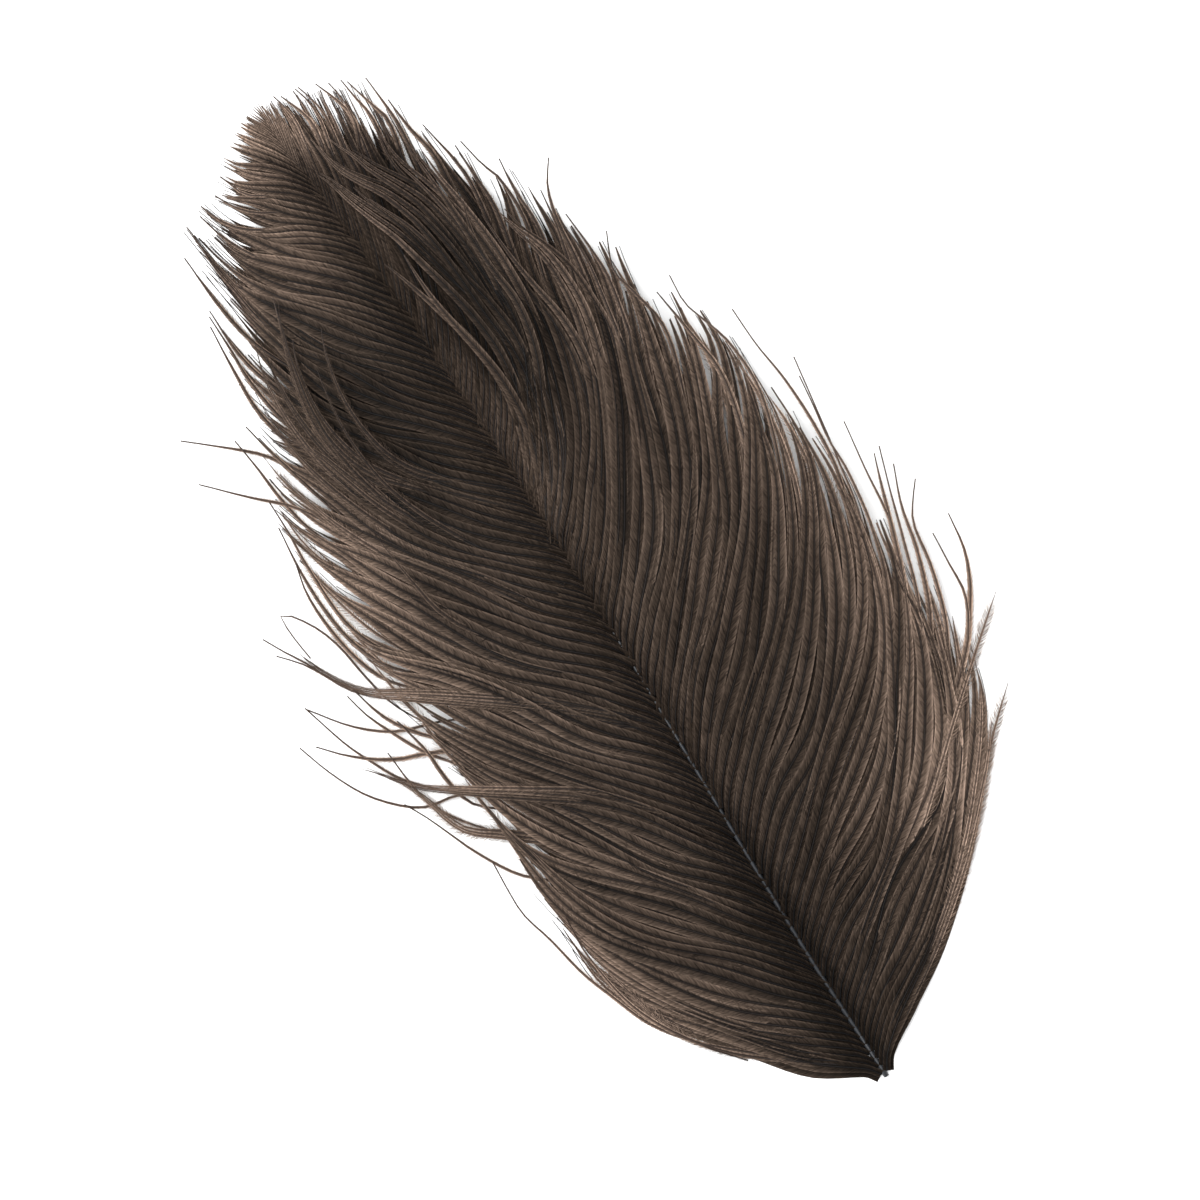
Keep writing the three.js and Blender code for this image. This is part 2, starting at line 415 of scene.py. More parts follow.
# Webs: a shallow trough each, with the stem at its bottom. The grain runs with the barbules.
section = node("GeometryNodeObjectInfo", {"Object": given["Web section"]})["Geometry"]
section = node("GeometryNodeMeshToCurve", {"Mesh": section})[0]
values = {"Curve": lines, "Profile Curve": section, "Scale": named("web")}
webs = node("GeometryNodeCurveToMesh", values)[0]
beside = node("ShaderNodeMath", {0: named("across")}, operation="ABSOLUTE")[0]
beside_mm = product(beside, product(named("web"), 1000.0))
grain = vector(
    sum_of(product(named("from_root"), 1000.0), product(beside_mm, -1 / math.tan(BARBULE_ANGLE))),
    product(beside_mm, 1 / math.sin(BARBULE_ANGLE)),
    product(named("own"), 50.0),
)
webs = give(webs, "grain", grain, "FLOAT_VECTOR")
webs = give(webs, "reach", product(beside, WEB_REACH))
tone_row = node("ShaderNodeMath", {0: product(named("tone"), 18.0)}, operation="FLOOR")[0]
row_place = product(sum_of(tone_row, sum_of(0.5, product(named("across"), 0.45))), 1 / MAP_ROWS)
web_map = vector(product(named("from_root"), 1 / MAP_LENGTH), row_place, 0.0)
webs = give(webs, MAP, web_map, "FLOAT2", "CORNER")

# Single barbules: a row on each side, each turned forward, raised and rolled a little at random.
rows = []
for side, template in [(1.0, "Left barbule"), (-1.0, "Right barbule")]:
    salt = 15 + 5 * side
    values = {"Curve": lines, "Length": given["Barbule spacing"]}
    points = node("GeometryNodeCurveToPoints", values, mode="LENGTH")
    sideways = node("ShaderNodeVectorMath", {0: points["Normal"], "Scale": side}, operation="SCALE")[0]
    values = {"Primary Axis": points["Tangent"], "Secondary Axis": points["Normal"]}
    on_stem = node("FunctionNodeAxesToRotation", values, primary_axis="X", secondary_axis="Y")[0]
    turn = vector(
        random_number(given["Roll spread"], salt),
        product(sum_of(given["Rise"], random_number(given["Rise spread"], salt + 1)), -1.0),
        product(sum_of(given["Barbule angle"], random_number(given["Angle spread"], salt + 2)), side),
    )
    local = node("FunctionNodeEulerToRotation", {"Euler": turn})[0]
    values = {"Rotation": on_stem, "Rotate By": local}
    aim = node("FunctionNodeRotateRotation", values, rotation_space="LOCAL")[0]
    row = node("GeometryNodeInstanceOnPoints", {
        "Points": points["Points"],
        "Instance": node("GeometryNodeObjectInfo", {"Object": given[template]})["Geometry"],
        "Rotation": aim,
        "Scale": product(named("barbule"), sum_of(1.0, random_number(0.22, salt + 3))),
    })[0]
    own_tone = product(named("tone"), sum_of(1.0, random_number(0.3, salt + 4)))
    row = give(row, "tone", own_tone, domain="INSTANCE")
    row = give(row, "own", random_number(1.0, salt + 5), domain="INSTANCE")
    rows.append(node("GeometryNodeRealizeInstances", {"Geometry": row})[0])
barbules = joined(*rows)
grain = vector(product(named("own"), 40.0), product(named("reach"), 2.0), 0.0)
barbules = give(barbules, "grain", grain, "FLOAT_VECTOR")
barbule_map = vector(map_column(), sum_of(0.5, product(named("reach"), 0.39)), 0.0)
barbules = give(barbules, MAP, barbule_map, "FLOAT2", "CORNER")

# Nothing goes under the table or stands above the feather's full height.
whole = joined(stems, webs, barbules)
here = node("ShaderNodeSeparateXYZ", {"Vector": node("GeometryNodeInputPosition")[0]})
height = node("ShaderNodeMath", {0: here["Z"], 1: given["Lowest"]}, operation="MAXIMUM")[0]
height = node("ShaderNodeMath", {0: height, 1: given["Highest"]}, operation="MINIMUM")[0]
values = {"Geometry": whole, "Position": vector(here["X"], here["Y"], height)}
whole = node("GeometryNodeSetPosition", values)[0]
whole = node("GeometryNodeRealizeInstances", {"Geometry": whole})[0]
whole = node("GeometryNodeSetMaterial", {"Geometry": whole, "Material": given["Barbule finish"]})[0]
values = {"Geometry": whole, "Selection": named("is_stem"), "Material": given["Stem finish"]}
whole = node("GeometryNodeSetMaterial", values)[0]
tree.links.new(whole, grown.inputs[0])


def grow(name, barbs, seed, spacing=BARBULE_SPACING):
    """The barbs as one plain mesh piece, with a spacing of their barbules in millimetres."""
    line_mesh = bpy.data.meshes.new(name + "_lines")
    ends = np.cumsum([len(barb["path"]) for barb in barbs])
    starts = np.insert(ends[:-1], 0, 0)
    edges = [(i, i + 1) for start, end in zip(starts, ends) for i in range(start, end - 1)]
    line_mesh.from_pydata(to_frame(np.vstack([barb["path"] for barb in barbs])).tolist(), edges, [])
    for key in barbs[0]:
        if key != "path":
            values = np.concatenate([barb[key] for barb in barbs]).astype(np.float32)
            line_mesh.attributes.new(key, "FLOAT", "POINT").data.foreach_set("value", values)
    line_object = bpy.data.objects.new(name + "_lines", line_mesh)
    scene.collection.objects.link(line_object)
    modifier = line_object.modifiers.new("grow", "NODES")
    modifier.node_group = tree
    for key, value in {
        "Left barbule": barbule_left,
        "Right barbule": barbule_right,
        "Web section": web_section,
        "Barbule finish": barb_finish,
        "Stem finish": stem_finish,
        "Barbule spacing": spacing * MM,
        "Seed": seed,
    }.items():
        modifier[sockets[key]] = value
    evaluated = line_object.evaluated_get(bpy.context.evaluated_depsgraph_get())
    grown_mesh = bpy.data.meshes.new_from_object(evaluated)
    bpy.data.objects.remove(line_object)
    grown_mesh.name = name
    for key in [*barbs[0], "across", "is_stem"]:
        if key in grown_mesh.attributes and key != "tone":
            grown_mesh.attributes.remove(grown_mesh.attributes[key])
    piece = bpy.data.objects.new(name, grown_mesh)
    scene.collection.objects.link(piece)
    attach(piece, "root")


# ---------------- the vanes' common form
# Both vanes arch up from the shaft and droop to the table at their edges. Each barb has sway of
# its own and shares a slower one with its neighbours, clings to the next, and in places gathers
# with several into a pointed lock.
LEFT_REACH = (42.0, 0.9, 0.7)  # of the vane at its widest, and the skew and power of its outline
RIGHT_REACH = (58.0, 0.75, 0.9)
SWELL, SWELL_AT = 2.4, 9.0  # the vane stands highest a little way from the shaft
LAYER_RISE, LAYER_DEPTH = 1.5, 3.0  # barbs rise over their neighbours, less where the vane is low
LOWEST_LINE = 0.3
LINE_STEP = 2.2  # between the vertices of a barb's line
ROOT_STEPS = [0, 0.5, 1.1, 1.9, 3.0]  # closer together where it bends away from the shaft
STEM_RADIUS, STEM_TIP_RADIUS = 0.15, 0.07
WEB_WIDTH = 1.55  # from the stem to the web's edge
SECOND_WEB_SHARE = 0.45  # the width of every second barb, which sinks under the others
SECOND_BARB_SINK = 0.8
DARKEST, PALEST = 0.01, 0.97
SHAFT_TONE_AND_SHADE, LEFT_EDGE_TONE, RIGHT_EDGE_TONE, TIP_TONE = 0.05, 0.2, 0.36, 0.66
PALENESS_AT = [40, 70, 120, 150, 185]  # along the shaft
LEFT_PALENESS = [1.05, 0.7, 0.7, 0.75, 0.85]  # beside the average
RIGHT_PALENESS = [1.0, 1.02, 1.02, 0.95, 1.4]
# Places with paler barbs, and places where painted shade darkens the vane under loose barbs: centre, size
# and amount.
PALE_SPOTS = [
    ((5.5, 145), (3.5, 28), 0.12),
    ((37, 36), (10, 8), 0.46),
    ((-32, 48), (5, 26), 0.12),
    ((-28, 124), (7, 13), 0.2),
    ((-8, 180), (8, 11), 0.2),
]
PAINTED_SHADE_SPOTS = [((15, 160), (9, 28), 0.4), ((-15, 142), (10, 22), 0.17)]
SHINGLE_ROLL = 0.28  # each web's edge towards the tip lies on the next barb
WEB_ROOT_SHARE = 0.45
BARBULE_TO_WEB = 1.6  # a barbule's length for each millimetre of web
LINE_PLACES = 40  # along the line of a barb of the vane
LOOSE_PLACES = 60  # and of a loose one
FINE_PLACES = 81  # and of either, once it is smoothed
SHARED_SWAY, OWN_SWAY = 0.75, 0.33
ROOT_BESIDE = 0.55  # from the shaft's middle to a barb's root, up to where the shaft sinks
ROOT_DROP = 1.3  # how far a barb's root runs down along the shaft
UNDER_DEPTH = 1.0  # of the barbs beneath the first ones
UNDER_DRIFT = 1.5  # to the side, at most
# The under barbs are broader and, as painted shade, darker than the first ones.
UNDER_WIDTH, UNDER_PAINTED_SHADE = 1.35, 0.5  # beside those of the first ones
UNDER_ROOT_WIDTH = 0.8  # more, near the shaft, but for the first few barbs
UNDER_END = 188  # along the shaft
NO_BARBULES = 1000  # a spacing longer than any barb
random = np.random.default_rng(7)


def smooth(low, high, value):
    share = np.clip((value - low) / (high - low), 0, 1)
    return share * share * (3 - 2 * share)


def vane_share(x, y):
    """How far a place is from the shaft towards the vane's edge, from 0 to 1."""
    reach, skew, power = [np.where(x < shaft_x(y), a, b) for a, b in zip(LEFT_REACH, RIGHT_REACH)]
    return np.abs(x - shaft_x(y)) / (1 + reach * hump(y / FEATHER_END, skew, power))


def vane_z(x, y):
    """Height of the vane over the table."""
    out = np.abs(x - shaft_x(y))
    swell = SWELL * (out / SWELL_AT) * np.exp(1 - out / SWELL_AT)
    return (shaft_z(y) + swell) * np.maximum(1 - vane_share(x, y) ** 2, 0)


def through(points, count=LOOSE_PLACES):
    """A smooth line through given points, written x, y, x, y, as evenly spaced places."""
    p = np.reshape(points, (-1, 2)).astype(float)
    p = np.vstack([2 * p[0] - p[1], p, 2 * p[-1] - p[-2]])
    t = np.linspace(0, 1, 16, endpoint=False)[:, None]
    spans = [
        0.5 * (2 * b + (c - a) * t + (2 * a - 5 * b + 4 * c - d) * t**2 + (3 * b - a - 3 * c + d) * t**3)
        for a, b, c, d in zip(p[:-3], p[1:-2], p[2:-1], p[3:])
    ]
    line = np.vstack([*spans, p[-2]])
    run = np.insert(np.cumsum(np.linalg.norm(np.diff(line, axis=0), axis=1)), 0, 0)
    even = np.linspace(0, run[-1], count)
    return np.column_stack([np.interp(even, run, line[:, axis]) for axis in range(2)])


def sideways(line):
    """The direction to the right of a plan line at each of its places."""
    ahead = np.gradient(line, axis=0)
    ahead = ahead / np.linalg.norm(ahead, axis=1)[:, None]
    return np.column_stack([ahead[:, 1], -ahead[:, 0]])


def length_of(line):
    return np.linalg.norm(np.diff(line, axis=0), axis=1).sum()


def near(x, y, centre, size):
    """1 at a place and 0 away from it."""
    return np.exp(-(((x - centre[0]) / size[0]) ** 2) - ((y - centre[1]) / size[1]) ** 2)


def paleness(x, y):
    """How pale the barbs are at a place: darkest along the shaft, from their dark roots and painted shade
    of the valley there, palest at the edges and tip.
    """
    out = np.abs(x - shaft_x(y))
    left_side = x < shaft_x(y)
    beside = out * np.where(left_side, 0.8, 1.8)
    edge = np.where(left_side, smooth(21, 42, out), smooth(26, 52, out))
    # Along the shaft, the barbs' dark, dense roots and a painted shade of the valley beside it darken the
    # colour, more so near the cut end.
    pale = SHAFT_TONE_AND_SHADE + 0.11 * smooth(0, 9, beside) + 0.05 * smooth(9, 24, out)
    pale = pale - 0.07 * (1 - smooth(30, 70, y)) * (1 - smooth(4, 20, out))
    left, right = [np.interp(y, PALENESS_AT, values) for values in (LEFT_PALENESS, RIGHT_PALENESS)]
    edge_tone = np.where(left_side, LEFT_EDGE_TONE, RIGHT_EDGE_TONE)
    pale = pale * np.where(left_side, left, right) + edge_tone * edge
    for centre, size, amount in PALE_SPOTS:
        pale = pale + amount * near(x, y, centre, size)
    return pale + TIP_TONE * smooth(186, 201, y)


def painted_shade_under_loose(x, y):
    """Painted shade: how much darker the vane's colour is made where loose barbs lie over it."""
    return sum(amount * near(x, y, centre, size) for centre, size, amount in PAINTED_SHADE_SPOTS)


def barb(
    plan,
    lift=0.0,
    width=WEB_WIDTH,
    taper=0.5,
    bare=3.0,
    stem=STEM_RADIUS,
    stem_tip=STEM_TIP_RADIUS,
    tone=0.0,
    low=0.0,
    root=WEB_ROOT_SHARE,
    roll=0.0,
    rising=(-1, 0),
    opens=True,
    barbules=BARBULE_TO_WEB,
):
    """One barb along a plan line, with what each of its vertices carries.

    lift is its height over the vane, and low the height that it keeps where there is no vane.
    Its web is narrow at the root, has its full width up to the taper, a share of its length, and
    closes to the tip. The last millimetres, bare, have hardly any barbules. rising gives the shares
    of its length between which it comes up to its lift and takes on its tone. A barb that opens
    has only loose barbules outside the vane.
    """
    length = length_of(plan)
    steps = np.linspace(ROOT_STEPS[-1], length, max(3, int((length - ROOT_STEPS[-1]) / LINE_STEP)) + 1)
    run = np.concatenate([ROOT_STEPS[:-1], steps])
    count = len(run)
    along = run / length
    even = through(plan, FINE_PLACES)
    x, y = [np.interp(along, np.linspace(0, 1, FINE_PLACES), even[:, axis]) for axis in range(2)]
    surface = vane_z(x, y)
    layer = LAYER_RISE * along * np.minimum(1, surface / LAYER_DEPTH)
    height = surface + layer + lift * smooth(*rising, along)
    z = np.maximum(height, LOWEST_LINE + low * smooth(0.3, 1, along))
    closing = np.clip((along - taper) / (1 - taper), 0, 1)
    left = x < shaft_x(y)
    openness = smooth(np.where(left, 0.76, 0.84), np.where(left, 1.02, 1.1), vane_share(x, y))
    web = width * (root + (1 - root) * smooth(1, 13, run)) * (1 - 0.9 * closing**1.4)
    fluff = (barbules * web + 0.25) * (1 - 0.65 * smooth(length - bare - 5, length - bare + 2, run))
    web = web * (1 - (0.6 * openness if opens else 0))
    # Painted shade from the loose barbs darkens the vane's colour, less on barbs that are lifted.
    own_tone = np.maximum(paleness(x, y) - painted_shade_under_loose(x, y) * (1 - 0.6 * np.clip(lift, 0, 1)), 0.015)
    slow_roll = random.normal(0, 0.08) + random.normal(0, 0.10) * np.sin(run / 9 + random.uniform(0, 6))
    return {
        "path": np.column_stack([x, y, z]),
        "along": along,
        "from_root": run * MM,
        "web": web * MM,
        "barbule": fluff * MM,
        "thick": (stem + (stem_tip - stem) * along**0.8) * MM,
        "tone": np.clip(
            own_tone * (1 + tone * smooth(*rising, along)) + 0.2 * openness, DARKEST, PALEST
        ),
        "roll": roll + slow_roll,
        "own": np.full(count, random.uniform(0, 1)),
    }


class Sway:
    """A slow sideways drift that neighbouring barbs share."""

    def __init__(self, size, waves=6):
        self.size = size * math.sqrt(2 / waves)
        self.across = 2 * np.pi / random.uniform(9, 28, waves) * random.choice([-1, 1], waves)
        self.along = 2 * np.pi / random.uniform(38, 90, waves)
        self.start = random.uniform(0, 2 * np.pi, waves)

    def at(self, root, run):
        return self.size * sum(
            np.sin(a * root + b * run + c) for a, b, c in zip(self.across, self.along, self.start)
        )


def vane(side, guides, locks, spacing, cling, span):
    """All barbs of one vane, from guide barbs and the locks that they gather in.

    Each guide is the line of one barb, from the shaft to its tip. Each lock is the place along the
    shaft that its middle barb comes from, its tip, the share of a barb's length where it begins to
    gather, and how tightly it holds. spacing gives the barbs' distance along the shaft, and cling
    how closely two neighbours lie together.
    """
    lines = np.array([through(points, LINE_PLACES) for points in guides])
    roots = lines[:, 0, 1]
    share = np.linspace(0, 1, LINE_PLACES)[:, None]
    sway = Sway(SHARED_SWAY)

    def plan(y):
        line = np.column_stack(
            [[np.interp(y, roots, lines[:, k, axis]) for k in range(LINE_PLACES)] for axis in range(2)]
        )
        beside = ROOT_BESIDE * (1 - smooth(72, 108, y))
        return line + (1 - share) ** 3 * (np.array([shaft_x(y) + side * beside, y]) - line[0])

    starts = []
    y = span[0]
    while y < span[1]:
        starts.append(y + random.normal(0, 0.1))
        y += np.interp(y, *spacing)
    lock_roots = np.array([lock[0] for lock in locks])
    barbs = []
    for index, start in enumerate(starts):
        second = index % 2
        own = plan(start)
        middle = plan((start + starts[min(index ^ 1, len(starts) - 1)]) / 2)
        held = np.interp(start, *cling) * random.uniform(0.2, 1.2) * smooth(0.06, 0.4, share)
        line = own + (middle - own) * held
        root, tip_x, tip_y, gather, hold = locks[int(np.abs(lock_roots - start).argmin())]
        spine = plan(root)
        spine = spine + (np.array([tip_x, tip_y]) - spine[-1]) * share**2.2
        held = hold * smooth(gather, 0.92, share)
        line = line + (spine - line) * held
        run = share[:, 0] * length_of(line)
        drift = sway.at(start, run) * smooth(5, 24, run)
        turns = random.uniform(28, 70)
        wave = np.sin(2 * np.pi * run / turns + random.uniform(0, 6)) * smooth(3, 18, run)
        drift = drift + random.normal(0, OWN_SWAY) * wave
        line = line + sideways(line) * drift[:, None] * (1 - 0.7 * held)
        line[:, 1] -= ROOT_DROP * np.exp(-run / 1.1)
        shortest = 0.82 + 0.08 * smooth(120, 150, start) - 0.12 * second
        line = line[: max(8, round(LINE_PLACES * random.uniform(shortest, 1.0)))]
        narrower = (0.26 + 0.09 * side) * smooth(85, 140, start)
        at_tip = (0.2 + 0.1 * side) * smooth(150, 195, start)
        width = WEB_WIDTH * (1 - narrower - at_tip)
        width *= 1 - (1 - SECOND_WEB_SHARE) * second
        barbs.append(
            barb(
                line,
                lift=-SECOND_BARB_SINK * second + random.normal(0, 0.1),
                tone=random.normal(0, 0.25),
                width=width * random.uniform(0.8, 1.1),
                taper=random.uniform(0.45, 0.7) - 0.35 * smooth(140, 180, start),
                bare=random.uniform(0, 5) + 3 * smooth(160, 180, start),
                stem=STEM_RADIUS * (1 - 0.45 * smooth(150, 190, start)),
                stem_tip=STEM_TIP_RADIUS * (1 - 0.3 * smooth(150, 190, start)),
                roll=SHINGLE_ROLL * side,
                rising=(0.04, 0.25),
            )
        )
    return starts, barbs


def under_layer(barbs):
    """The same barbs lower down and broader, as the vane is several barbs deep, with their colour darkened
    as painted shade.
    """

    def wider_root(barb):
        return UNDER_ROOT_WIDTH * smooth(4, 16, barb["path"][0, 1])

    return [
        {
            **barb,
            "path": np.column_stack([
                barb["path"][:, :2]
                + sideways(barb["path"][:, :2]) * random.uniform(-UNDER_DRIFT, UNDER_DRIFT),
                np.maximum(barb["path"][:, 2] - UNDER_DEPTH, 0.1),
            ]),
            "web": barb["web"] * UNDER_WIDTH * (1 - smooth(0.72, 0.92, barb["along"]))
            + (0.02 + wider_root(barb) * (1 - smooth(0.15, 0.35, barb["along"]))) * MM,
            "tone": barb["tone"] * UNDER_PAINTED_SHADE,
        }
        for barb in barbs
        if barb["path"][0, 1] < UNDER_END
    ]


def pointed_lock(points, barbs, gap, **choices):
    """Several barbs that run side by side along a line and close to one point."""
    line = through(points)
    share = np.linspace(0, 1, LOOSE_PLACES)[:, None]
    spread = gap * smooth(-0.2, 0.25, share) * (1 - share**2.6)
    length = length_of(line)
    members = []
    for place in np.arange(barbs) - (barbs - 1) / 2:
        wave = 0.25 * np.sin(share * length / random.uniform(4, 9) + random.uniform(0, 6)) * (1 - share)
        own = line + sideways(line) * (place * spread + wave)
        own = own[: LOOSE_PLACES - random.integers(0, 7)]
        own_choices = {
            "lift": 1.1 + random.normal(0, 0.4),
            "taper": random.uniform(0.3, 0.5),
            "bare": random.uniform(0, 3),
            "root": 0.7,
            "rising": (0.3, 0.6),
            **choices,
        }
        own_choices["tone"] = own_choices.get("tone", 0) + random.normal(0, 0.3)
        members.append(barb(own, **own_choices))
    return members


def loose_locks(rows, gap, **choices):
    """Locks that have come loose. A row gives the line of one and its number of barbs."""
    return [member for line, count in rows for member in pointed_lock(line, count, gap, **choices)]


def stray_barbs(rows, wide, **choices):
    """Single loose barbs. A row gives the line of one, its web's width and its bare tip's length."""
    shared = {"lift": 0.5, "stem": 0.2, "low": 0.8, "rising": (0.2, 0.6), "opens": False, **choices}
    return [barb(through(line), width=wide * width, bare=bare, **shared) for line, width, bare in rows]


def filling_barbs(lines, tone):
    """Short soft barbs that fill the vane's edge between the main ones."""
    shared = {"width": 0.4, "barbules": 4, "bare": 2, "taper": 0.8, "low": 0.5, "rising": (0.2, 0.5)}
    return [barb(through(line), lift=-0.3, tone=tone, **shared) for line in lines]


def grow_zones(name, starts, barbs, zones, seed):
    """The vane in several pieces, each with the barbs that start between two places."""
    for zone, low, high in zones:
        chosen = [barb for start, barb in zip(starts, barbs) if low <= start < high]
        grow(f"{name}_{zone}", chosen, seed)
        seed += 1


# ---------------- left vane
# The narrower vane. Its barbs leave the shaft at about 40 degrees, run straight and bend towards
# the tip near the edge. Locks stand away from its lower edge.
LEFT_GUIDES = [
    [0, 2, -5, 5.5, -12, 11, -19, 17.5, -25, 25, -29, 33, -31.5, 41, -32.3, 50],
    [0, 8, -7, 13.5, -15, 21, -22, 28.5, -27.5, 36, -31, 43.5, -32.5, 52, -32.8, 61],
    [0, 16, -8, 24, -17, 34, -24.5, 43, -29.5, 51.5, -32, 60, -33, 70],
    [0.3, 26, -9, 36, -18.5, 47.5, -26, 58, -30.5, 67, -33.3, 79],
    [0.5, 38, -10, 51, -20, 64.5, -28, 76, -32, 85, -34, 94],
    [0.8, 50, -10, 63, -20, 76, -28, 87, -32.5, 96, -35, 105],
    [1, 62, -10, 75, -20, 88, -28, 99, -34, 109, -36.5, 119],
    [1.5, 80, -10, 92, -20, 105, -28, 118, -34, 130, -37, 141],
    [2.5, 105, -8, 115, -18, 130, -25, 145, -28.5, 156, -29.5, 166],
    [3, 128.3, -6, 137.5, -14, 147, -20.6, 156, -24, 165, -25.8, 178],
    [3, 129.3, -5, 138, -12, 146.5, -16.6, 155, -18.8, 164, -20.3, 175, -21.6, 187],
    [3, 140, -5, 149, -11.5, 157, -16, 165, -18.7, 173, -20.2, 181, -21.2, 190],
    [3, 150, -3, 157, -9, 164, -14, 170.5, -17.6, 178, -19.4, 185, -20.4, 192],
    [2.5, 165, -3, 171, -8, 176, -12.5, 181.5, -15.5, 187, -17.2, 193.7],
    [2.1, 176, -2, 179.4, -5.5, 181.7, -10, 184, -13.5, 187, -16, 190.5, -17.4, 193.9],
    [2, 176.9, -2, 180, -5.5, 182.6, -8.3, 185.6, -10.7, 188.4, -12.8, 191.2, -14.3, 194.1],
    [1.6, 184, -2, 188, -6, 191, -8.6, 194, -10, 198],
    [1.2, 188, -1.5, 192, -4, 195.5, -6, 198.5, -7.2, 200.8],
    [0.7, 193, -0.8, 196, -2.5, 199, -3.8, 202],
    [0.3, 197, -0.5, 199.5, -1.4, 201.5, -2, 203],
]
LEFT_LOCKS = [
    (20, -33, 70, 0.7, 0.0),
    (44, -35, 97, 0.6, 0.25),
    (52, -36.5, 103, 0.6, 0.4),
    (60, -38, 112, 0.6, 0.4),
    (67, -38.6, 122, 0.55, 0.6),
    (74, -38, 132, 0.55, 0.75),
    (80, -36.8, 140, 0.55, 0.75),
    (86, -35.8, 143.5, 0.6, 0.75),
    (93, -33.8, 150, 0.55, 0.75),
    (99, -32, 154, 0.6, 0.8),
    (106, -30.5, 157, 0.6, 0.8),
    (112, -29.2, 163, 0.5, 0.8),
    (116.5, -28.2, 170, 0.5, 0.8),
    (120.5, -27.4, 175, 0.45, 0.85),
    (124, -26.4, 177.5, 0.45, 0.85),
    (127.5, -24.7, 187.8, 0.4, 0.85),
    (132, -22.8, 184, 0.4, 0.85),
    (138, -21.8, 192.2, 0.35, 0.9),
    (145, -21.9, 187, 0.35, 0.9),
    (152, -21, 190.5, 0.35, 0.9),
    (160, -18.2, 188.5, 0.3, 0.9),
    (171, -17.9, 193.7, 0.3, 0.9),
    (179.5, -14.2, 194, 0.4, 0.6),
    (182.5, -11.6, 196.4, 0.5, 0.5),
    (185.5, -9.8, 198.5, 0.5, 0.5),
    (188, -8, 199.8, 0.5, 0.4),
    (191, -5.6, 201.2, 0.4, 0.4),
    (194, -3.4, 202, 0.4, 0.2),
    (197, -2, 203, 0.4, 0.0),
]
LEFT_SPACING = ([0, 8, 24, 60, 100, 140, 176, 200], [0.6, 0.85, 1.35, 1.35, 1.25, 1.15, 0.8, 0.5])
LEFT_CLING = ([0, 90, 130], [0.3, 0.3, 0.5])
left_starts, left_barbs = vane(-1, LEFT_GUIDES, LEFT_LOCKS, LEFT_SPACING, LEFT_CLING, (1.5, 199.5))
grow_zones(
    "left_vane", left_starts, left_barbs, [("lower", 0, 48), ("middle", 48, 98), ("upper", 98, 210)], 31
)

grow("left_vane_under", under_layer(left_barbs), 39, NO_BARBULES)


# ---------------- left loose barbs
# Barbs of the left vane that have come loose, alone or in locks. They lie across the others or
# stand away from the edge, and short soft ones fill the edge between them.
LEFT_LOOSE_LOCKS = [
    ([0.8, 52, -8, 61, -16, 69, -24, 75, -32, 80.5, -37, 84, -41, 87, -44, 90.5, -47, 95], 5),
    ([1.5, 72, -8, 81, -18, 90, -27, 97, -34, 102, -39, 105.5, -42, 109, -44.5, 114, -46, 118.5], 6),
    ([-20, 62, -27, 67, -33, 72, -38, 76, -40, 80, -41, 84, -43, 89, -45.5, 92.5, -48, 95.5], 3),
    ([3, 112, -6, 122, -13, 130, -18, 136, -20.5, 142, -21.3, 148, -20.8, 154, -19.3, 161, -17, 168,
      -15, 174.5], 4),
    ([3, 116, -6, 125, -12, 131, -17, 138, -19.3, 145, -19.8, 152, -19, 158, -17.5, 163, -15, 167.5], 2),
    ([3, 120, -4, 127, -10, 132, -13.5, 138, -14.8, 145, -14.8, 151, -14, 156, -12.5, 161, -10, 166], 2),
    ([-8, 112, -14, 122, -19, 132, -21.5, 139, -23.5, 145, -25.5, 149, -28, 152.5, -30, 157], 3),
    ([-12, 118, -19, 130, -23.5, 141, -25, 150, -25, 158, -24, 164, -22, 170], 2),
    ([-10, 97, -18, 105, -21, 111, -21.8, 116, -22.5, 122, -23, 127.5], 1),
    ([-3, 106, -11, 117, -17, 129, -20, 141, -20.4, 152, -19, 160, -17.3, 167, -15.2, 171.5], 2),
    ([-6, 108, -14, 121, -19.5, 134, -22.5, 146, -23.3, 156, -22.3, 165, -21.2, 171.5], 2),
    ([-12, 112, -19, 124, -24, 136, -27, 147, -27.6, 156, -27, 164], 2),
    ([-16, 112, -23, 123, -28, 134, -31, 144, -32.2, 151], 2),
    ([0, 103, -7, 113, -13, 124, -16.5, 134, -17.6, 144, -17, 152, -15.6, 159], 1),
]
